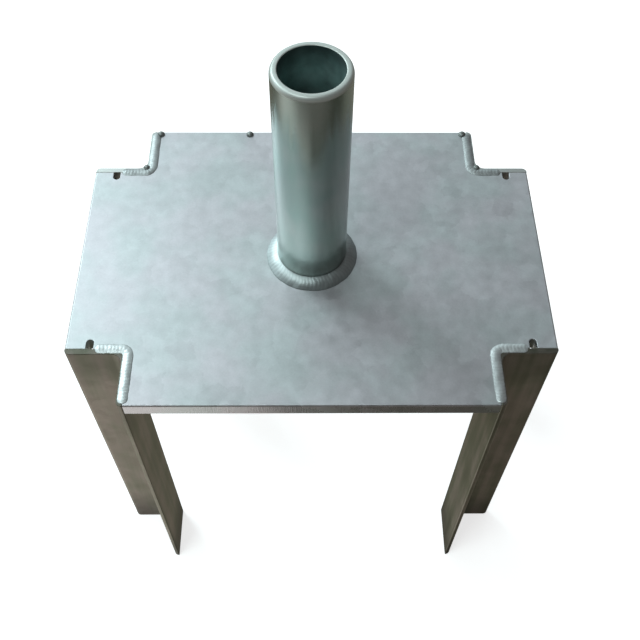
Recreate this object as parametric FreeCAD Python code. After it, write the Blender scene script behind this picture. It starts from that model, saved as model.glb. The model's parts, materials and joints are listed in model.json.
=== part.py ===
import FreeCAD, Part
import math
import os

# Scaffold fork head: a notched steel plate, a tube spigot on its upper side and a length of
# rolled steel angle welded into each corner notch. Between the angles the plate carries a beam.
#
# Frame: millimetres, +Z up along the spigot, +X along the longer side of the plate. The origin
# is on the floor under the middle of the plate, and the part stands on the ends of its angles.

# Plate, measured over the tabs that stand out between the notches
plate_length = 230.0
plate_width = 170.0
plate_thickness = 8.0
plate_edge_radius = 1.0

# Slot in the plate beside each angle, where the zinc runs out of the corner when it is galvanised
drain_slot_width = 3.5
drain_slot_depth = 5.0
drain_slot_from_heel = 18.5

# Hot-rolled equal-leg angle, cut square at both ends
angle_leg = 30.0
angle_thickness = 3.0
angle_root_radius = 5.0
angle_toe_radius = 2.5
angle_length = 205.0

# Spigot tube, standing on the plate
spigot_diameter = 33.7
spigot_wall = 3.2
spigot_height = 118.0
spigot_edge_break = 0.6

# Taper round the outside of the spigot's open end, which leads it into the tube above
lead_in_width = 1.6
lead_in_height = 2.4

# Fillet weld round the foot of the spigot, whose outer edge is bevelled to let the weld in
spigot_weld_leg = 5.5
spigot_weld_height = 4.0
foot_bevel_depth = 1.5

# Seam welds over the joints between the plate and the angles, with the clearances that they keep:
# to the angle's inner face, to the tip of its leg and to the drain slot
seam_weld_height = 1.0
seam_weld_edge_gap = 0.5
seam_weld_tip_gap = 1.0
seam_weld_slot_gap = 0.8

# Levels and half sizes that follow from the sizes above
plate_top = angle_length
plate_underside = plate_top - plate_thickness
spigot_top = plate_top + spigot_height
spigot_radius = spigot_diameter / 2
bore_radius = spigot_radius - spigot_wall
foot_radius = spigot_radius - min(foot_bevel_depth, spigot_wall / 2)
weld_top = plate_top + spigot_weld_height
half_length = plate_length / 2
half_width = plate_width / 2
heel_x = half_length - angle_leg
heel_y = half_width - angle_leg
seam_weld_reach = angle_thickness - seam_weld_edge_gap

# Signs of each corner along X and Y, counter-clockwise from the back right corner
CORNERS = {
    "back_right": (1, 1),
    "back_left": (-1, 1),
    "front_left": (-1, -1),
    "front_right": (1, -1),
}

UP = FreeCAD.Vector(0, 0, 1)
ORIGIN = FreeCAD.Vector(0, 0, 0)


def line(start, end):
    return Part.LineSegment(start, end).toShape()


def level_arc(centre, radius, first_degrees, last_degrees):
    """Part of a level circle, counter-clockwise from the first direction to the last."""
    circle = Part.Circle(centre, UP, radius)
    return Part.ArcOfCircle(circle, math.radians(first_degrees), math.radians(last_degrees)).toShape()


def flat_point(x, y):
    return FreeCAD.Vector(x, y, 0)


def radial_point(radius, height):
    return FreeCAD.Vector(radius, 0, height)


def polygon(points):
    """Flat face with straight edges from each point to the next, and back to the first."""
    following = points[1:] + points[:1]
    return Part.Face(Part.Wire([line(start, end) for start, end in zip(points, following)]))


def revolve(points):
    """Turn a half section in the XZ plane about the spigot's axis."""
    return polygon(points).revolve(ORIGIN, UP, 360)


def fork_plate():
    """Flat plate with a square notch in each corner, its outer edges slightly rounded."""
    outline = []
    for sign_x, sign_y in CORNERS.values():
        side = FreeCAD.Vector(sign_x * half_length, sign_y * heel_y, plate_underside)
        inside = FreeCAD.Vector(sign_x * heel_x, sign_y * heel_y, plate_underside)
        end = FreeCAD.Vector(sign_x * heel_x, sign_y * half_width, plate_underside)
        notch = [side, inside, end]
        outline += notch if sign_x == sign_y else notch[::-1]
    plate = polygon(outline).extrude(UP * plate_thickness)
    plate = plate.makeFillet(min(plate_edge_radius, plate_thickness / 3), tab_edges(plate))
    for sign_x, sign_y in CORNERS.values():
        plate = plate.cut(drain_slot(sign_x, sign_y))
    return plate


def tab_edges(plate):
    """The long edges, above and below, at the outer ends of the four tabs."""
    found = []
    for edge in plate.Edges:
        middle = edge.CenterOfMass
        at_side = math.isclose(abs(middle.x), half_length)
        at_end = math.isclose(abs(middle.y), half_width)
        is_level = math.isclose(edge.BoundBox.ZLength, 0, abs_tol=plate_thickness / 100)
        if is_level and (at_side or at_end):
            found.append(edge)
    return found


def drain_slot(sign_x, sign_y):
    """Round-ended slot through the plate, open to the seam along the angle's X leg."""
    end_radius = drain_slot_width / 2
    straight = drain_slot_depth - end_radius
    middle = sign_x * (heel_x + drain_slot_from_heel)
    seam = sign_y * heel_y
    round_end = Part.makeCylinder(
        end_radius, plate_thickness, FreeCAD.Vector(middle, seam - sign_y * straight, plate_underside))
    mouth = Part.makeBox(drain_slot_width, straight, plate_thickness)
    mouth.translate(FreeCAD.Vector(middle - end_radius, min(seam, seam - sign_y * straight), plate_underside))
    return round_end.fuse(mouth)


def angle_section():
    """Rolled angle with its heel at the origin and its legs along +X and +Y."""
    leg = angle_leg
    wall = angle_thickness
    root = angle_root_radius
    toe = min(angle_toe_radius, 0.9 * wall)
    heel = flat_point(0, 0)
    x_tip = flat_point(leg, 0)
    y_tip = flat_point(0, leg)
    return Part.Face(Part.Wire([
        line(heel, x_tip),
        line(x_tip, flat_point(leg, wall - toe)),
        level_arc(flat_point(leg - toe, wall - toe), toe, 0, 90),
        line(flat_point(leg - toe, wall), flat_point(wall + root, wall)),
        level_arc(flat_point(wall + root, wall + root), root, 180, 270),
        line(flat_point(wall, wall + root), flat_point(wall, leg - toe)),
        level_arc(flat_point(wall - toe, leg - toe), toe, 0, 90),
        line(flat_point(wall - toe, leg), y_tip),
        line(y_tip, heel),
    ]))


def corner_angle(sign_x, sign_y):
    """Angle in one notch: heel to the plate's middle, outer faces against the notch, top flush."""
    angle = angle_section().extrude(UP * angle_length)
    drawn_towards = math.atan2(1, 1)
    legs_towards = math.atan2(sign_y, sign_x)
    angle.rotate(ORIGIN, UP, math.degrees(legs_towards - drawn_towards))
    angle.translate(flat_point(sign_x * heel_x, sign_y * heel_y))
    return angle


def spigot_tube():
    """Round tube on the plate: its foot bevelled for the weld, its open end tapered outside."""
    edge_break = min(spigot_edge_break, spigot_wall / 4)
    taper = min(lead_in_width, spigot_wall / 2)
    return revolve([
        radial_point(bore_radius, plate_top),
        radial_point(foot_radius, plate_top),
        radial_point(spigot_radius, weld_top),
        radial_point(spigot_radius, spigot_top - lead_in_height),
        radial_point(spigot_radius - taper, spigot_top),
        radial_point(bore_radius + edge_break, spigot_top),
        radial_point(bore_radius, spigot_top - edge_break),
    ])


def spigot_weld():
    """Fillet weld that fills the bevel and joins the plate to the outside of the tube."""
    return revolve([
        radial_point(foot_radius, plate_top),
        radial_point(spigot_radius + spigot_weld_leg, plate_top),
        radial_point(spigot_radius, weld_top),
    ])


def bead_run(length):
    """Straight length of seam weld from the origin along +X: a low arc over a flat base."""
    left = flat_point(0, -seam_weld_reach)
    right = flat_point(0, seam_weld_reach)
    crown = UP * seam_weld_height
    section = Part.Face(Part.Wire([Part.Arc(left, crown, right).toShape(), line(right, left)]))
    return section.extrude(flat_point(length, 0))


def bead_end(first_degrees, sweep_degrees):
    """Round end of a seam weld: part of a ball's cap, with the same arc as the straight length."""
    ball_radius = (seam_weld_reach ** 2 + seam_weld_height ** 2) / (2 * seam_weld_height)
    depth = ball_radius - seam_weld_height
    base_latitude = math.degrees(math.asin(depth / ball_radius))
    cap = Part.makeSphere(ball_radius, UP * -depth, UP, base_latitude, 90, sweep_degrees)
    cap.rotate(ORIGIN, UP, first_degrees)
    return cap


def corner_weld(sign_x, sign_y):
    """Low round bead on the seam: from the heel to the slot, and along the whole other leg."""
    slot_side = drain_slot_from_heel - drain_slot_width / 2
    x_run = slot_side - seam_weld_slot_gap - seam_weld_reach
    y_run = angle_leg - seam_weld_tip_gap - seam_weld_reach
    x_bead = bead_run(x_run)
    x_end = bead_end(-90, 180)
    x_end.translate(flat_point(x_run, 0))
    y_bead = bead_run(y_run)
    y_bead.rotate(ORIGIN, UP, 90)
    y_end = bead_end(0, 180)
    y_end.translate(flat_point(0, y_run))
    heel_end = bead_end(180, 90)
    bead = x_bead.fuse([x_end, y_bead, y_end, heel_end]).removeSplitter()
    if sign_x < 0:
        bead = bead.mirror(ORIGIN, FreeCAD.Vector(1, 0, 0))
    if sign_y < 0:
        bead = bead.mirror(ORIGIN, FreeCAD.Vector(0, 1, 0))
    bead.translate(FreeCAD.Vector(sign_x * heel_x, sign_y * heel_y, plate_top))
    return bead


def all_pieces():
    """Every separate piece of the fork head, by name."""
    pieces = {
        "fork_plate": fork_plate(),
        "spigot_tube": spigot_tube(),
        "spigot_weld": spigot_weld(),
    }
    for corner, (sign_x, sign_y) in CORNERS.items():
        pieces["corner_angle_" + corner] = corner_angle(sign_x, sign_y)
        pieces["corner_weld_" + corner] = corner_weld(sign_x, sign_y)
    return pieces


def main():
    os.makedirs("parts", exist_ok=True)
    for name, shape in all_pieces().items():
        [solid] = shape.Solids
        solid.exportStep("parts/" + name + ".step")
        print(name, "valid", solid.isValid(), "volume", round(solid.Volume, 1))


main()
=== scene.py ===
# %% [markdown]
# # A galvanised scaffold fork head
# A fork head carries a formwork beam on top of a scaffold standard. It is a welded steel part: a notched
# plate, four lengths of rolled angle and a round tube, dipped in molten zinc when the welding is done.
# The shapes come from a finished CAD model. This lesson gives them soft edges, weld beads with
# ripples and a zinc skin, and sets up the light and the camera.

# %% Load the CAD model
import json
import math

import bmesh
import bpy
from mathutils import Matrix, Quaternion, Vector


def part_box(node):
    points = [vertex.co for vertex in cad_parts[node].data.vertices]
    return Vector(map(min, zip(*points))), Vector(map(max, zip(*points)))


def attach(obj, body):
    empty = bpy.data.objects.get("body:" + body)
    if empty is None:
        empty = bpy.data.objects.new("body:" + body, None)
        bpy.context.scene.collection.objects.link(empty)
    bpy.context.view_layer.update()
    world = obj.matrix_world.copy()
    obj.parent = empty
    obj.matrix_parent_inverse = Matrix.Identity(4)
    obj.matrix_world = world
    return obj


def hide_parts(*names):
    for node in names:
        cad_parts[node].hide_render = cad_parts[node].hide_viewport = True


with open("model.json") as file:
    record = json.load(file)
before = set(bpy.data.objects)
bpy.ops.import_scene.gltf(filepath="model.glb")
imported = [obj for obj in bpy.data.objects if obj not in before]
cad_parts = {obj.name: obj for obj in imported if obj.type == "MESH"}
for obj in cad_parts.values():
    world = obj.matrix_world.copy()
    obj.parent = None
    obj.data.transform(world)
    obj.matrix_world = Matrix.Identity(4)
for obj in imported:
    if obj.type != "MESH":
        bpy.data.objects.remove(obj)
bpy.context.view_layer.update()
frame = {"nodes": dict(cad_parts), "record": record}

MM = 0.001
CORNERS = ("front_left", "front_right", "back_left", "back_right")
mounts = {mount["name"]: mount for mount in frame["record"]["mounts"]}
plate_low, plate_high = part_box("fork_plate")
plate_top = plate_high.z


def add_object(name, data):
    """A new object in the scene that shows a mesh, a curve, a light or a camera."""
    made = bpy.data.objects.new(name, data)
    bpy.context.scene.collection.objects.link(made)
    return made


print("CAD pieces:", len(frame["nodes"]), "and the plate's top is at", round(plate_top / MM, 1), "mm")

# %% [markdown]
# The camera looks down on the plate from in front. It could be placed by eye, but the corners of the
# plate, the ends of the angles and the rim of the tube are enough to work out where it stood: its focal
# length in pixels, its place over the plate, and its pitch, yaw and roll. A camera looks along its own
# -Z axis, so one quaternion aims that axis and a second one adds the roll.

# %% Place the camera
IMAGE_SIDE = 640
FOCAL_LENGTH_PIXELS = 879
SENSOR_WIDTH = 36.0
CAMERA_OVER_PLATE = Vector((0, -267.7, 349.5)) * MM
CAMERA_PITCH = math.radians(56.82)
CAMERA_YAW = math.radians(0.95)
CAMERA_ROLL = math.radians(0.72)
NEAREST_SEEN = 10 * MM


def place_camera():
    data = bpy.data.cameras.new("photo_camera")
    data.sensor_width = SENSOR_WIDTH
    data.lens = SENSOR_WIDTH * FOCAL_LENGTH_PIXELS / IMAGE_SIDE
    data.clip_start = NEAREST_SEEN
    camera = add_object("photo_camera", data)
    level = math.cos(CAMERA_PITCH)
    view = Vector((math.sin(CAMERA_YAW) * level, math.cos(CAMERA_YAW) * level, -math.sin(CAMERA_PITCH)))
    camera.rotation_mode = "QUATERNION"
    camera.rotation_quaternion = view.to_track_quat("-Z", "Y") @ Quaternion((0, 0, 1), CAMERA_ROLL)
    camera.location = Vector((0, 0, plate_top)) + CAMERA_OVER_PLATE
    bpy.context.scene.camera = camera
    return camera


camera = place_camera()
print("Camera lens:", round(camera.data.lens, 1), "mm at height", round(camera.location.z, 3), "m")

# %% [markdown]
# A node tree soon fills with Math nodes. They could be wired one by one, but a formula is easier to
# read. The class below wraps an output socket, so that Python's own operators add the Math nodes, and
# one method adds every other kind of node. It serves materials, the world and geometry trees alike.

# %% Write node trees as expressions
class Field:
    """An output socket of a node tree, on which arithmetic adds Math nodes."""

    def __init__(self, tree, socket=None):
        self.tree = tree
        self.socket = socket

    def node(self, kind, settings=(), sockets=(), output=0):
        """Add a node: its settings first, then its sockets' values or links. Gives one output."""
        made = self.tree.nodes.new(kind)
        for name, value in dict(settings).items():
            setattr(made, name, value)
        for name, value in dict(sockets).items():
            if isinstance(value, Field):
                self.tree.links.new(value.socket, made.inputs[name])
            else:
                made.inputs[name].default_value = value
        return Field(self.tree, made.outputs[output] if made.outputs else None)

    def other(self, output):
        """Another output of the same node."""
        return Field(self.tree, self.socket.node.outputs[output])

    def math(self, operation, first, second=0.0):
        return self.node("ShaderNodeMath", {"operation": operation}, {0: first, 1: second})

    def __add__(self, value):
        return self.math("ADD", self, value)

    __radd__ = __add__

    def __sub__(self, value):
        return self.math("SUBTRACT", self, value)

    def __rsub__(self, value):
        return self.math("SUBTRACT", value, self)

    def __mul__(self, value):
        return self.math("MULTIPLY", self, value)

    __rmul__ = __mul__

    def __truediv__(self, value):
        return self.math("DIVIDE", self, value)

    def __rtruediv__(self, value):
        return self.math("DIVIDE", value, self)

    def __abs__(self):
        return self.math("ABSOLUTE", self)

    def smooth_step(self, low, high):
        """0 below low, 1 above high and an easy slope between them."""
        sockets = {"Value": self, "From Min": low, "From Max": high}
        return self.node("ShaderNodeMapRange", {"interpolation_type": "SMOOTHSTEP"}, sockets)

    def part(self, axis):
        """One coordinate of a vector, or one channel of a colour."""
        return self.node("ShaderNodeSeparateXYZ", (), {"Vector": self}, axis)

    def scaled(self, factor):
        """A vector or colour times a number."""
        return self.node("ShaderNodeVectorMath", {"operation": "SCALE"}, {"Vector": self, "Scale": factor})

    def plus(self, vector):
        """The sum of two vectors."""
        return self.node("ShaderNodeVectorMath", {"operation": "ADD"}, {0: self, 1: vector})

    def times(self, vector):
        """Two vectors multiplied part by part."""
        return self.node("ShaderNodeVectorMath", {"operation": "MULTIPLY"}, {0: self, 1: vector})

    def blend(self, first, second):
        """A colour between two colours, by this number. A Mix node has sockets for each kind of data:
        inputs 6 and 7 and output 2 are those for colours."""
        first, second = (c if isinstance(c, Field) else (*c, 1) for c in (first, second))
        return self.node("ShaderNodeMix", {"data_type": "RGBA"}, {0: self, 6: first, 7: second}, 2)


print("Field understands + - * / and abs")

# %% [markdown]
# The studio is plain: a pale floor and soft light. Bare metal shows what is around it more than its
# own colour, so the surroundings are painted with care. Above, the light grows evenly towards a large
# window at the back left, the left wall is paler than the rest of the room, and the front is dim. Below
# it is dim too and a little warm, with a lighter patch at the front left. The floor is only there to be
# seen and to take a shadow, and is kept out of the reflections.

# %% Build the studio surroundings
FLOOR_SIDE = 6.0
FLOOR_GLOW = 0.72
FLOOR_COLOUR = (0.86, 0.86, 0.86, 1)
BACKDROP_COLOUR = (0.97, 0.97, 0.97)
CEILING = (0.125, 0.115, 0.115)
WINDOW = (0.90, 1.05, 1.08)
GROUND_DARK = (0.072, 0.068, 0.052)
GROUND_LIGHT = (0.75, 0.73, 0.69)
GROUND_FAR = (0.17, 0.155, 0.14)
GROUND_BACK_LEFT = (0.15, 0.145, 0.11)
GROUND_BACK_RIGHT = (0.22, 0.21, 0.175)


def floor_finish():
    material = bpy.data.materials.new("studio_floor")
    material.use_nodes = True
    shader = material.node_tree.nodes["Principled BSDF"]
    shader.inputs["Base Color"].default_value = FLOOR_COLOUR
    shader.inputs["Roughness"].default_value = 0.9
    shader.inputs["Emission Color"].default_value = (1, 1, 1, 1)
    shader.inputs["Emission Strength"].default_value = FLOOR_GLOW
    return material


def studio_floor():
    mesh = bpy.data.meshes.new("studio_floor")
    half = FLOOR_SIDE / 2
    corners = [(-half, -half, 0), (half, -half, 0), (half, half, 0), (-half, half, 0)]
    mesh.from_pydata(corners, [], [(0, 1, 2, 3)])
    mesh.materials.append(floor_finish())
    floor = add_object("studio_floor", mesh)
    floor.visible_diffuse = False
    floor.visible_glossy = False


def studio_room():
    """Dim surroundings for the reflections, and a plain pale backdrop behind the object.
    Each ray's direction has x to the right, y to the back and z up."""
    world = bpy.data.worlds.new("studio_room")
    world.use_nodes = True
    bpy.context.scene.world = world
    tree = world.node_tree
    direction = Field(tree).node("ShaderNodeTexCoord", output="Generated")
    x, y, z = (direction.part(axis) for axis in range(3))
    left_wall = (0 - x).smooth_step(0.32, 0.62)
    towards_window = 1.8 * y - x - 0.70 + 0.85 * left_wall
    front_shade = 0.55 + 0.45 * y.smooth_step(-0.6, 0.0)
    above = towards_window.blend(CEILING, WINDOW).scaled(front_shade)
    depth = z.math("MAXIMUM", 0 - z, 0.1)
    left = 1 - (x / depth).smooth_step(-0.2, 0.05)
    near = (y / depth).smooth_step(-1.15, -0.6)
    in_front = near.blend(GROUND_FAR, left.blend(GROUND_DARK, GROUND_LIGHT))
    behind = x.smooth_step(-0.3, 0.3).blend(GROUND_BACK_LEFT, GROUND_BACK_RIGHT)
    below = y.smooth_step(-0.2, 0.3).blend(in_front, behind)
    room = z.smooth_step(-0.15, 0.15).blend(below, above)
    seen = Field(tree).node("ShaderNodeLightPath", output="Is Camera Ray")
    tree.links.new(seen.blend(room, BACKDROP_COLOUR).socket, tree.nodes["Background"].inputs["Color"])


studio_floor()
studio_room()
bpy.context.scene.view_settings.view_transform = "Standard"
print("Floor:", FLOOR_SIDE, "m square")

# %% [markdown]
# A soft box is an area light: the larger it is, the softer its shadow and the wider its reflection.
# Two of them add what even surroundings cannot give. One hangs high at the back left and casts the soft
# shadow of the tube. The other, at the front left, lights the plate in front of the tube, and the tube
# mirrors that light as a long streak.

# %% Hang the soft boxes
AIM = Vector((0, 0, plate_top))
SOFT_BOX_SIDE = 0.5


def soft_box(name, place, power, tint):
    """A square light at a place in metres, aimed at the plate, with its power in watts."""
    data = bpy.data.lights.new(name, "AREA")
    data.shape = "SQUARE"
    data.size = SOFT_BOX_SIDE
    data.energy = power
    data.color = tint
    light = add_object(name, data)
    light.location = place
    light.rotation_euler = (AIM - Vector(place)).to_track_quat("-Z", "Y").to_euler()
    light.visible_camera = False
    return light


lights = [
    soft_box("shadow_back_left", (-1.0, 0.95, 1.35), 11, (0.84, 1.0, 1.03)),
    soft_box("streak_front_left", (-0.50, -0.46, 1.65), 7, (0.86, 1.0, 1.0)),
]
print("Soft boxes:", ", ".join(light.name for light in lights))

# %% [markdown]
# Hot-dip zinc is never one flat grey. Its crystals, called spangle, differ a little in shade and gloss,
# the coating clouds over in patches as it weathers, and its skin is slightly pebbled. All of this is
# made from noise and Voronoi textures on the Object coordinates, turned into millimetres, so a number
# in a material is a size on the part.

# %% Make the textures of a zinc skin
# How far to each side of the part's middle one shade passes into another, in millimetres
SIDE_BLEND = 20


def new_finish(name):
    """A material, its Principled shader and the place on the part in millimetres."""
    material = bpy.data.materials.new(name)
    material.use_nodes = True
    tree = material.node_tree
    place = Field(tree).node("ShaderNodeTexCoord", output="Object").scaled(1 / MM)
    return material, tree.nodes["Principled BSDF"], place


def noise(place, size, detail=2.0, output="Fac"):
    """Soft noise about 0.5, with lumps of the given size in millimetres."""
    sockets = {"Vector": place, "Scale": 1 / size, "Detail": detail}
    return place.node("ShaderNodeTexNoise", (), sockets, output)


def spangle(place, size):
    """A shade from 0 to 1 for each zinc crystal, with ragged borders."""
    ragged = noise(place, size / 3, 3.0, "Color").plus((-0.5, -0.5, -0.5)).scaled(0.6 * size)
    cells = {"Vector": place.plus(ragged), "Scale": 1 / size}
    return place.node("ShaderNodeTexVoronoi", (), cells, "Color").part(0)


def facing_up(place):
    """The upward part of the surface normal, from -1 to 1."""
    return place.node("ShaderNodeNewGeometry", output="Normal").part(2)


def on_side(place, x, y):
    """From 0 to 1 across the middle of the part, in the level direction (x, y)."""
    return (x * place.part(0) + y * place.part(1)).smooth_step(-SIDE_BLEND, SIDE_BLEND)


def connect(shader, colour, roughness, height, depth):
    """Link what varies over the surface; height from 0 to 1 is a bump of the given depth in millimetres."""
    tree = colour.tree
    bump = colour.node("ShaderNodeBump", (), {"Height": height, "Distance": depth * MM})
    for name, field in (("Base Color", colour), ("Roughness", roughness), ("Normal", bump)):
        tree.links.new(field.socket, shader.inputs[name])


print("Textures: noise, spangle")

# %% [markdown]
# The plate is paler than the tube and the angles. Its finish mixes a cool grey and a faintly violet one in
# broad clouds, with mottling of a few millimetres and spangle of about 9 mm over them. The cut edges carry
# the fine upright lines that a cutting torch leaves, and their colour carries painted light on the left and a
# little painted shade elsewhere; the surface normal tells them from the flats.

# %% Mix the plate's finish
def plate_finish():
    material, shader, place = new_finish("galvanised_plate")
    shader.inputs["Metallic"].default_value = 0.85
    cloud = noise(place, 55, 3.0)
    mottle = noise(place, 6, 4.0)
    crystal = spangle(place, 9)
    grain = noise(place, 0.9)
    flat_side = abs(facing_up(place)).smooth_step(0.5, 0.9)
    cut_edge = 1 - flat_side
    tint = noise(place, 30, 3.0).smooth_step(0.35, 0.65).blend((0.63, 0.67, 0.68), (0.67, 0.66, 0.69))
    shade = 0.58 + 0.14 * cloud + 0.30 * mottle + 0.08 * crystal + 0.12 * grain
    # Painted light on the cut edges: brighter on the left, a little darker elsewhere
    painted_left_edge_light = 1 - place.part(0).smooth_step(-35, -10)
    painted_edge_light_and_shade = 1 + cut_edge * (0.45 * painted_left_edge_light - 0.05)
    colour = tint.scaled(shade * painted_edge_light_and_shade)
    torch_lines = noise(place.times((1.6, 1.6, 0.12)), 1.0, 1.0)
    roughness = 0.45 + 0.05 * crystal + 0.10 * mottle - 0.25 * cut_edge
    height = 0.6 * grain + 0.4 * mottle * flat_side + 1.5 * torch_lines * cut_edge
    connect(shader, colour, roughness, height, 0.03)
    return material


zinc_plate = plate_finish()
print("Finish:", zinc_plate.name)

# %% [markdown]
# The tube is smoother and glossier than the plate, because its skin was drawn through a die. Noise
# that is stretched along the tube gives the draw lines. Its tapered end is paler and less of a mirror.
# Its colour is painted lighter near the foot and darker higher up, a painted reflection of the pale plate,
# and painted shade makes a dark line where the tube enters the weld. The bore gets a finish of its own: a
# dull, mottled, greenish zinc, with painted shade at its mouth and in its depth.

# %% Mix the tube's two finishes
tube_low, tube_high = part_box("spigot_tube")
weld_low, weld_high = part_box("spigot_weld")


def mount_top(name):
    """The height at which the plain wall of an upright mount ends."""
    return mounts[name]["pos_m"][2] + mounts[name]["dims"]["length_mm"] * MM / 2


taper_start = mount_top("spigot")
break_start = mount_top("spigot_bore")


def tube_finish():
    material, shader, place = new_finish("galvanised_tube")
    cloud = noise(place, 30, 3.0)
    draw_lines = noise(place.times((1, 1, 0.02)), 0.7)
    streak = noise(place.times((1, 1, 0.06)), 4)
    grain = noise(place, 0.8)
    tapered_end = (place.part(2) - taper_start / MM).smooth_step(0.0, 0.8)
    over_weld = place.part(2) - weld_high.z / MM
    # Painted shade: a dark band just above the weld, in the corner between tube and weld
    painted_weld_crease_shade = 0.40 + 0.60 * over_weld.smooth_step(-0.5, 2.0)
    # Painted reflection of the pale plate: lighter near the foot, darker higher up
    painted_low_reflection = 1.14 - 0.25 * over_weld.smooth_step(15, 65)
    tint = cloud.smooth_step(0.35, 0.65).blend((0.43, 0.54, 0.50), (0.51, 0.56, 0.53))
    drawn = tint.scaled((0.80 + 0.25 * cloud + 0.15 * streak) * painted_weld_crease_shade * painted_low_reflection)
    colour = tapered_end.blend(drawn, (0.61, 0.65, 0.615))
    metallic = 0.95 - 0.45 * tapered_end
    place.tree.links.new(metallic.socket, shader.inputs["Metallic"])
    roughness = 0.14 + 0.10 * cloud + 0.08 * streak + 0.24 * tapered_end
    connect(shader, colour, roughness, 0.6 * draw_lines + 0.4 * grain, 0.02)
    return material


def bore_finish():
    material, shader, place = new_finish("galvanised_bore")
    shader.inputs["Metallic"].default_value = 0.15
    cloud = noise(place, 12, 3.0)
    mottle = noise(place, 5, 3.0)
    grain = noise(place, 0.8)
    depth = tube_high.z / MM - place.part(2)
    tint = cloud.smooth_step(0.3, 0.7).blend((0.18, 0.31, 0.295), (0.24, 0.37, 0.355))
    # Painted shade: dark under the lip at the mouth and deep down in the bore
    painted_mouth_shadow = 0.25 + 0.75 * depth.smooth_step(0, 12)
    painted_depth_shade = 1 - 0.70 * depth.smooth_step(12, 30)
    colour = tint.scaled((0.5 + mottle) * painted_mouth_shadow * painted_depth_shade)
    connect(shader, colour, 0.45 + 0.2 * cloud, grain, 0.03)
    return material


zinc_tube = tube_finish()
zinc_bore = bore_finish()
print("Finishes:", zinc_tube.name, zinc_bore.name)

# %% [markdown]
# The angles are hot-rolled bar. Silicon in such steel turns its zinc dull and dark, with olive and
# brownish patches, and drainage leaves long streaks down the legs. The patches are broad noise, and
# the streaks are noise stretched along Z. The colour is darker towards the feet and on the cut ends at the
# front, and painted shade darkens it just under the plate. At the back the cut ends are coloured nearly as
# pale as the plate.

# %% Mix the angles' finish
def angle_finish():
    material, shader, place = new_finish("galvanised_angle")
    shader.inputs["Metallic"].default_value = 0.92
    cloud = noise(place, 28, 3.0)
    streak = noise(place.times((1, 1, 0.05)), 6, 3.0)
    crystal = spangle(place, 6)
    grain = noise(place, 0.9)
    height = place.part(2)
    # Painted shade just under the plate, where its shadow falls; darker towards the feet as well
    painted_plate_shadow_fade = (plate_low.z / MM - height).smooth_step(0, 30)
    above_foot = height.smooth_step(0, 45)
    cut_end = abs(facing_up(place)).smooth_step(0.5, 0.9)
    tint = (0.5 * cloud + 0.5 * streak).smooth_step(0.40, 0.60).blend((0.38, 0.38, 0.29), (0.45, 0.405, 0.35))
    shade = 0.30 + 0.85 * streak + 0.45 * cloud + 0.08 * crystal
    painted_shadow_and_foot_darkening = (0.75 + 0.25 * painted_plate_shadow_fade) * (0.40 + 0.60 * above_foot)
    rolled = tint.scaled(shade * painted_shadow_and_foot_darkening * (1 - 0.55 * cut_end))
    at_back = on_side(place, 0, 1)
    colour = (cut_end * at_back).blend(rolled, (0.56, 0.58, 0.56))
    roughness = 0.34 + 0.18 * streak + 0.08 * crystal
    connect(shader, colour, roughness, 0.6 * grain + 0.4 * streak, 0.04)
    return material


zinc_angle = angle_finish()
print("Finish:", zinc_angle.name)

# %% [markdown]
# Weld metal takes a bright coat of zinc on its crests, and dross and dirt stay in the grooves between its
# ripples; painted shade darkens its toes. The finish reads two attributes of the bead's geometry, so that
# colour and shape belong together: ripple, from 0 in a groove to 1 on a crest, and across, from -1 to 1
# from toe to toe. The flat beads over the seams are paler than the one round the tube.
# Painted shade makes them darker at the back of the part, and the ring darker at its front right.

# %% Mix the welds' finishes
def weld_finish(name, groove_colour, crest_colour, painted_shade_towards):
    """Zinc on a weld. Painted shade takes a third of its brightness in one level direction, (x, y)."""
    material, shader, place = new_finish(name)
    shader.inputs["Metallic"].default_value = 0.9
    ripple = place.node("ShaderNodeAttribute", {"attribute_name": "ripple"}, (), "Fac")
    across = place.node("ShaderNodeAttribute", {"attribute_name": "across"}, (), "Fac")
    mottle = noise(place, 5, 3.0)
    grain = noise(place, 0.5)
    crest = ripple.smooth_step(0.0, 0.6)
    # Painted shade along the toes and towards one side of the part
    toe = abs(across).smooth_step(0.75, 1.0)
    painted_shade_side = on_side(place, *painted_shade_towards)
    shade = (0.80 + 0.40 * mottle) * (1 - 0.3 * toe) * (1 - 0.33 * painted_shade_side)
    colour = crest.blend(groove_colour, crest_colour).scaled(shade)
    connect(shader, colour, 0.50 - 0.06 * crest + 0.10 * mottle, grain, 0.03)
    return material


zinc_ring_weld = weld_finish("galvanised_ring_weld", (0.48, 0.54, 0.54), (0.56, 0.62, 0.62), (0.9, -0.4))
zinc_seam_weld = weld_finish("galvanised_seam_weld", (0.58, 0.62, 0.62), (0.66, 0.70, 0.70), (0, 1))
print("Finishes:", zinc_ring_weld.name, zinc_seam_weld.name)

# %% [markdown]
# Molten zinc rounds every edge that it covers. The plate and the angles could be modelled again, but
# their CAD meshes already have the right shape: a copy is merged into one skin, its flat triangles are
# dissolved into whole faces, and a Bevel modifier rounds what is still sharp. A Weighted Normal
# modifier then lets the large faces rule the shading, so that they stay flat to the light.

# %% Round the edges of the plate and the angles
EDGE_RADIUS = 0.35 * MM
EDGE_SEGMENTS = 3
SHARP_ANGLE = math.radians(35)
FLAT_ANGLE = math.radians(0.5)
SAME_POINT = 0.001 * MM


def plain_mesh(source, name):
    """The evaluated object as a mesh of its own in a new object, and the source is removed."""
    evaluated = source.evaluated_get(bpy.context.evaluated_depsgraph_get())
    mesh = bpy.data.meshes.new_from_object(evaluated)
    mesh.name = name
    bpy.data.objects.remove(source)
    return add_object(name, mesh)


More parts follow.
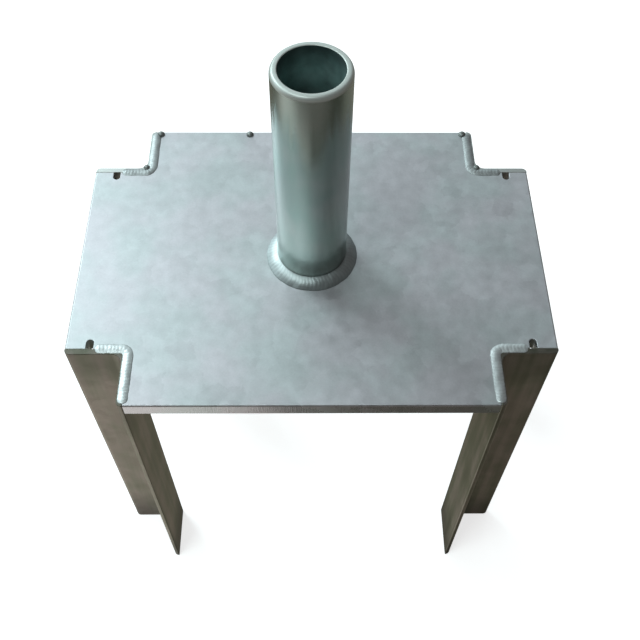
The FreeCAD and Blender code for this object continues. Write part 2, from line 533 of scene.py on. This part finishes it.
def merged_copy(node):
    """The node's CAD mesh as one closed skin, with its flat triangles joined into whole faces."""
    skin = bmesh.new()
    skin.from_mesh(frame["nodes"][node].data)
    bmesh.ops.remove_doubles(skin, verts=skin.verts, dist=SAME_POINT)
    bmesh.ops.dissolve_limit(skin, angle_limit=FLAT_ANGLE, verts=skin.verts, edges=skin.edges)
    mesh = bpy.data.meshes.new(node)
    skin.to_mesh(mesh)
    skin.free()
    mesh.shade_smooth()
    return mesh


def zinc_coated(node, finish):
    """A piece that stands for the node, with rounded edges and a zinc finish."""
    rough = add_object(node, merged_copy(node))
    rough.data.materials.append(finish)
    bevel = rough.modifiers.new("zinc_edge", "BEVEL")
    bevel.width = EDGE_RADIUS
    bevel.segments = EDGE_SEGMENTS
    bevel.limit_method = "ANGLE"
    bevel.angle_limit = SHARP_ANGLE
    rough.modifiers.new("flat_faces", "WEIGHTED_NORMAL").keep_sharp = True
    piece = plain_mesh(rough, node + "_zinc")
    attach(piece, "root")
    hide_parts(node)
    return piece


plate = zinc_coated("fork_plate", zinc_plate)
angles = [zinc_coated("corner_angle_" + corner, zinc_angle) for corner in CORNERS]
print("Rounded pieces:", plate.name, *[angle.name for angle in angles])

# %% [markdown]
# The tube is a body of revolution, so it is turned like one: a closed half section goes round the axis
# in small steps. The sizes come from the CAD model's mounts and boxes, apart from the widths of the taper
# and of the bevel at the foot, which no box shows. The rim is where this differs from the CAD tube: the
# taper outside and the broken edge inside are arcs here, because the zinc has rounded them. The taper is
# higher than it is wide, so both arcs are made as parts of an ellipse by one function.

# %% Turn the tube
TUBE_STEPS = 144
TAPER_WIDTH = 1.6 * MM
FOOT_BEVEL = 1.5 * MM
BORE_MARGIN = 0.1 * MM
ARC_STEPS = 7
tube_radius = mounts["spigot"]["dims"]["r_mm"] * MM
bore_radius = mounts["spigot_bore"]["dims"]["r_mm"] * MM


def rim_arc(centre_radius, width, start, first_degrees):
    """A quarter ellipse of the rim's half section, with its centre at a radius and a start height."""
    rise = tube_high.z - start
    turns = [math.radians(first_degrees + 90 * step / ARC_STEPS) for step in range(ARC_STEPS + 1)]
    return [(centre_radius + width * math.cos(turn), start + rise * math.sin(turn)) for turn in turns]


def turned(name, section, steps):
    """A closed mesh from a half section of (radius, height) points, counter-clockwise seen from -Y."""
    points = []
    for step in range(steps):
        turn = 2 * math.pi * step / steps
        points += [(r * math.cos(turn), r * math.sin(turn), z) for r, z in section]
    count = len(section)
    faces = []
    for step in range(steps):
        here = step * count
        there = (step + 1) % steps * count
        for i in range(count):
            j = (i + 1) % count
            faces.append((here + i, there + i, there + j, here + j))
    mesh = bpy.data.meshes.new(name)
    mesh.from_pydata(points, [], faces)
    mesh.shade_smooth()
    return mesh


def zinc_tube_piece():
    edge_break = tube_high.z - break_start
    section = [(bore_radius, tube_low.z), (tube_radius - FOOT_BEVEL, tube_low.z), (tube_radius, weld_high.z)]
    section += rim_arc(tube_radius - TAPER_WIDTH, TAPER_WIDTH, taper_start, 0)
    section += rim_arc(bore_radius + edge_break, edge_break, break_start, 90)
    mesh = turned("spigot_tube_zinc", section, TUBE_STEPS)
    mesh.set_sharp_from_angle(angle=SHARP_ANGLE)
    mesh.materials.append(zinc_tube)
    mesh.materials.append(zinc_bore)
    for face in mesh.polygons:
        from_axis = math.hypot(face.center.x, face.center.y)
        face.material_index = 1 if from_axis < bore_radius + BORE_MARGIN else 0
    piece = add_object("spigot_tube_zinc", mesh)
    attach(piece, "root")
    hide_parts("spigot_tube")
    return piece


tube = zinc_tube_piece()
print("Tube:", len(tube.data.polygons), "faces")

# %% [markdown]
# A weld bead is laid down drop by drop, and each drop freezes into a crescent over the one before it. A
# bead follows its seam, so Geometry Nodes sweep a low, crowned section along a path and push the ripples
# out of it. The ripple is a rectified sine along the path: round crests with sharp grooves between them.
# It lags at the sides of the bead, which bows the grooves into crescents. One tree serves every weld.

# %% Build the weld bead tree
STEPS_PER_RIPPLE = 9
SECTION_POINTS = 28
BEAD_SIZES = (
    "Half width", "Crown", "Depth", "Lean", "Ripple pitch", "Ripple height",
    "End size", "End taper", "Unevenness",
)


def new_geometry_tree(name, sizes):
    tree = bpy.data.node_groups.new(name, "GeometryNodeTree")
    tree.interface.new_socket("Geometry", in_out="INPUT", socket_type="NodeSocketGeometry")
    for label in sizes:
        tree.interface.new_socket(label, in_out="INPUT", socket_type="NodeSocketFloat")
    tree.interface.new_socket("Finish", in_out="INPUT", socket_type="NodeSocketMaterial")
    tree.interface.new_socket("Geometry", in_out="OUTPUT", socket_type="NodeSocketGeometry")
    return tree


def stored(geometry, name, value):
    """The geometry with a number kept on each of its points under a name."""
    settings = {"data_type": "FLOAT", "domain": "POINT"}
    sockets = {"Geometry": geometry, "Name": name, "Value": value}
    return geometry.node("GeometryNodeStoreNamedAttribute", settings, sockets)


def kept(geometry, name):
    """A number that was stored earlier."""
    return geometry.node("GeometryNodeInputNamedAttribute", {"data_type": "FLOAT"}, {"Name": name})


def finished(geometry, finish):
    """The end of a tree: real instances, smooth faces and a material, sent to the output."""
    geometry = geometry.node("GeometryNodeRealizeInstances", (), {"Geometry": geometry})
    geometry = geometry.node("GeometryNodeSetShadeSmooth", (), {"Geometry": geometry})
    geometry = geometry.node("GeometryNodeSetMaterial", (), {"Geometry": geometry, "Material": finish})
    geometry.node("NodeGroupOutput", (), {"Geometry": geometry})


def bead_section(half_width, crown, depth):
    """A low section: a parabola of the crown's height above, and half an ellipse of the depth below.
    A path with upright normals hangs its section upside down, so the crown is on the -Y side."""
    sockets = {"Resolution": SECTION_POINTS, "Radius": 1.0}
    circle = half_width.node("GeometryNodeCurvePrimitiveCircle", (), sockets)
    spot = half_width.node("GeometryNodeInputPosition")
    sideways = spot.part(0)
    hanging = spot.part(1)
    below = hanging.math("MAXIMUM", hanging, 0.0)
    above = hanging.math("MAXIMUM", 0 - hanging, 0.0)
    place = {"X": sideways * half_width, "Y": below * depth - above * above * crown}
    circle = stored(circle, "across", sideways)
    circle = stored(circle, "top", above)
    shaped = circle.node("ShaderNodeCombineXYZ", (), place)
    return circle.node("GeometryNodeSetPosition", (), {"Geometry": circle, "Position": shaped})


def weld_bead_tree():
    tree = new_geometry_tree("weld_bead", BEAD_SIZES)
    path = Field(tree).node("NodeGroupInput", output="Geometry")
    finish = path.other("Finish")
    sizes = [path.other(label) for label in BEAD_SIZES]
    half_width, crown, depth, lean, pitch, ripple_height, end_size, taper, unevenness = sizes
    resample = {"Curve": path, "Length": pitch / STEPS_PER_RIPPLE}
    path = path.node("GeometryNodeResampleCurve", {"mode": "LENGTH"}, resample)
    path = path.node("GeometryNodeSetCurveNormal", {"mode": "Z_UP"}, {"Curve": path})
    path = path.node("GeometryNodeSetCurveTilt", (), {"Curve": path, "Tilt": lean})
    along = path.node("GeometryNodeSplineParameter", output="Length")
    path = stored(path, "along", along)
    to_end = along.math("MINIMUM", along, path.node("GeometryNodeSplineLength") - along)
    inset = along.math("MAXIMUM", 1 - to_end / taper, 0.0)
    swell = end_size + (1 - end_size) * inset.math("SQRT", 1 - inset * inset)
    section = bead_section(half_width, crown, depth)
    sweep = {"Curve": path, "Profile Curve": section, "Scale": swell, "Fill Caps": True}
    bead = path.node("GeometryNodeCurveToMesh", (), sweep)
    across = kept(bead, "across")
    spot = bead.node("GeometryNodeInputPosition").scaled(1 / MM)
    drop = kept(bead, "along") / pitch + 0.55 * across * across + 0.7 * noise(spot, 3.0)
    ripple = abs(drop.math("SINE", drop * math.pi))
    bead = stored(bead, "ripple", ripple)
    lift = (ripple - 0.6) * ripple_height * kept(bead, "top") + (noise(spot, 4.5) - 0.5) * unevenness
    outward = bead.node("GeometryNodeInputNormal").scaled(lift)
    bead = bead.node("GeometryNodeSetPosition", (), {"Geometry": bead, "Offset": outward})
    finished(bead, finish)
    return tree


bead_tree = weld_bead_tree()
print("Tree:", bead_tree.name, "with", len(bead_tree.nodes), "nodes")

# %% [markdown]
# The tree needs a path to follow. Round the tube it is a closed circle, half way up the weld's sloping
# face, and the section leans so that it looks out of the corner between tube and plate. A closed ring has
# no ends, so its bead keeps its full size all round. A modifier's inputs are set by the sockets'
# identifiers, since two inputs could share a name.

# %% Lay the bead round the tube
weld_leg = weld_high.x - tube_radius
weld_height = weld_high.z - weld_low.z


def path_curve(name, points, closed):
    data = bpy.data.curves.new(name, "CURVE")
    data.dimensions = "3D"
    spline = data.splines.new("POLY")
    spline.points.add(len(points) - 1)
    for spot, point in zip(spline.points, points):
        spot.co = (*point, 1)
    spline.use_cyclic_u = closed
    return add_object(name, data)


def through_tree(source, tree, values, name):
    """Run a geometry tree on an object and keep the result as a plain mesh."""
    modifier = source.modifiers.new(tree.name, "NODES")
    modifier.node_group = tree
    for item in tree.interface.items_tree:
        if item.name in values:
            modifier[item.identifier] = values[item.name]
    return plain_mesh(source, name)


def weld_piece(path, node, values):
    piece = through_tree(path, bead_tree, values, node + "_bead")
    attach(piece, "root")
    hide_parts(node)
    return piece


def ring_path():
    radius = tube_radius + weld_leg / 2
    height = plate_top + weld_height / 2
    turns = [2 * math.pi * step / TUBE_STEPS for step in range(TUBE_STEPS)]
    return [(radius * math.cos(turn), radius * math.sin(turn), height) for turn in turns]


ring_values = {
    "Half width": 0.52 * math.hypot(weld_leg, weld_height),
    "Crown": 0.7 * MM,
    "Depth": 1.5 * MM,
    "Lean": math.atan2(weld_height, weld_leg),
    "Ripple pitch": 1.8 * MM,
    "Ripple height": 0.06 * MM,
    "End size": 1.0,
    "End taper": 1.0 * MM,
    "Unevenness": 0.5 * MM,
    "Finish": zinc_ring_weld,
}
ring = weld_piece(path_curve("ring_path", ring_path(), True), "spigot_weld", ring_values)
print("Ring bead:", len(ring.data.polygons), "faces")

# %% [markdown]
# Each angle is held by a flat bead over its seam with the plate. The seam turns a corner at the
# angle's heel, so the path is two straight runs with a small arc between them. The heel, the reach of the
# bead and the lengths of its runs are all read from the CAD boxes.

# %% Lay the beads on the corner seams
TURN_STEPS = 8
# In shares of the bead's reach: the radius of the bend, and how much shorter a run is than its box
BEND_PER_REACH = 1.6
END_PER_REACH = 1.05


def heel_of(corner):
    """The signs of a corner along X and Y, and how far its angle's heel lies from the middle."""
    low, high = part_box("corner_angle_" + corner)
    sign_x = 1 if low.x > 0 else -1
    sign_y = 1 if low.y > 0 else -1
    return sign_x, sign_y, min(abs(low.x), abs(high.x)), min(abs(low.y), abs(high.y))


def seam_path(corner):
    """The points of one seam from end to end, the reach of its bead to each side, and its height."""
    sign_x, sign_y, heel_x, heel_y = heel_of(corner)
    low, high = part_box("corner_weld_" + corner)
    reach = heel_x - min(abs(low.x), abs(high.x))
    x_end = high.x - low.x - END_PER_REACH * reach
    y_end = high.y - low.y - END_PER_REACH * reach
    bend = BEND_PER_REACH * reach
    turns = [math.radians(270 - 90 * step / TURN_STEPS) for step in range(TURN_STEPS + 1)]
    outline = [(x_end, 0)]
    outline += [(bend + bend * math.cos(turn), bend + bend * math.sin(turn)) for turn in turns]
    outline += [(0, y_end)]
    points = [(sign_x * (heel_x + x), sign_y * (heel_y + y), plate_top) for x, y in outline]
    return points, reach, high.z - low.z


def corner_bead(corner):
    points, reach, height = seam_path(corner)
    values = {
        "Half width": reach,
        "Crown": 0.6 * height,
        "Depth": 0.5 * height,
        "Lean": 0.0,
        "Ripple pitch": 1.7 * MM,
        "Ripple height": 0.055 * MM,
        "End size": 0.15,
        "End taper": reach,
        "Unevenness": 0.45 * MM,
        "Finish": zinc_seam_weld,
    }
    return weld_piece(path_curve("seam_path", points, False), "corner_weld_" + corner, values)


beads = [corner_bead(corner) for corner in CORNERS]
print("Corner beads:", *[bead.name for bead in beads])

# %% [markdown]
# When the part is lifted from the bath, the last of the zinc gathers at an edge and freezes there in a
# few drops, with dark dross in them. They could be modelled one by one; here points say where they sit,
# and a small tree puts a squashed ball on each, with its size changed a little by a seeded random number.

# %% Freeze the last drops of zinc
DROP_SIZES = ("Radius", "Flatness", "Size spread")
DROP_SEED = 4
DROP_RADIUS = 1.9 * MM
EDGE_GAP = 2.2 * MM
ROOT_GAP = 3.2 * MM
LONE_DROP_SHARE = 0.4


def dross_finish():
    material, shader, place = new_finish("zinc_dross")
    shader.inputs["Metallic"].default_value = 0.8
    mottle = noise(place, 1.5, 3.0)
    grain = noise(place, 0.4)
    colour = mottle.smooth_step(0.3, 0.7).blend((0.17, 0.18, 0.17), (0.30, 0.32, 0.31))
    connect(shader, colour, 0.42 + 0.15 * mottle, grain, 0.05)
    return material


def drop_tree():
    """A ball on each point. Inputs 2 and 3 and output 1 of Random Value are those for plain numbers."""
    tree = new_geometry_tree("zinc_drops", DROP_SIZES)
    points = Field(tree).node("NodeGroupInput", output="Geometry")
    radius, flatness, spread = map(points.other, DROP_SIZES)
    ball = points.node("GeometryNodeMeshIcoSphere", (), {"Radius": radius, "Subdivisions": 4})
    size = points.node("FunctionNodeRandomValue", (), {2: 1 - spread, 3: 1 + spread, "Seed": DROP_SEED}, 1)
    scale = points.node("ShaderNodeCombineXYZ", (), {"X": size, "Y": size, "Z": size * flatness})
    drops = {"Points": points, "Instance": ball, "Scale": scale}
    finished(points.node("GeometryNodeInstanceOnPoints", (), drops), points.other("Finish"))
    return tree


def drop_places():
    """Two drops by each back corner, at the plate's edge and in the angle's root, and a lone one at the
    back edge between the corners."""
    back = plate_high.y - EDGE_GAP
    places = []
    for corner in ("back_left", "back_right"):
        sign_x, _, heel_x, heel_y = heel_of(corner)
        places.append((sign_x * (heel_x - EDGE_GAP), back))
        places.append((sign_x * (heel_x + ROOT_GAP), heel_y + ROOT_GAP))
    places.append((-LONE_DROP_SHARE * heel_x, back))
    return places


def zinc_drops():
    mesh = bpy.data.meshes.new("drop_points")
    mesh.from_pydata([(x, y, plate_top) for x, y in drop_places()], [], [])
    points = add_object("drop_points", mesh)
    values = {"Radius": DROP_RADIUS, "Flatness": 0.8, "Size spread": 0.12, "Finish": dross_finish()}
    piece = through_tree(points, drop_tree(), values, "zinc_drops")
    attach(piece, "root")
    return piece


drops = zinc_drops()
print("Zinc drops:", len(drops.data.polygons), "faces")
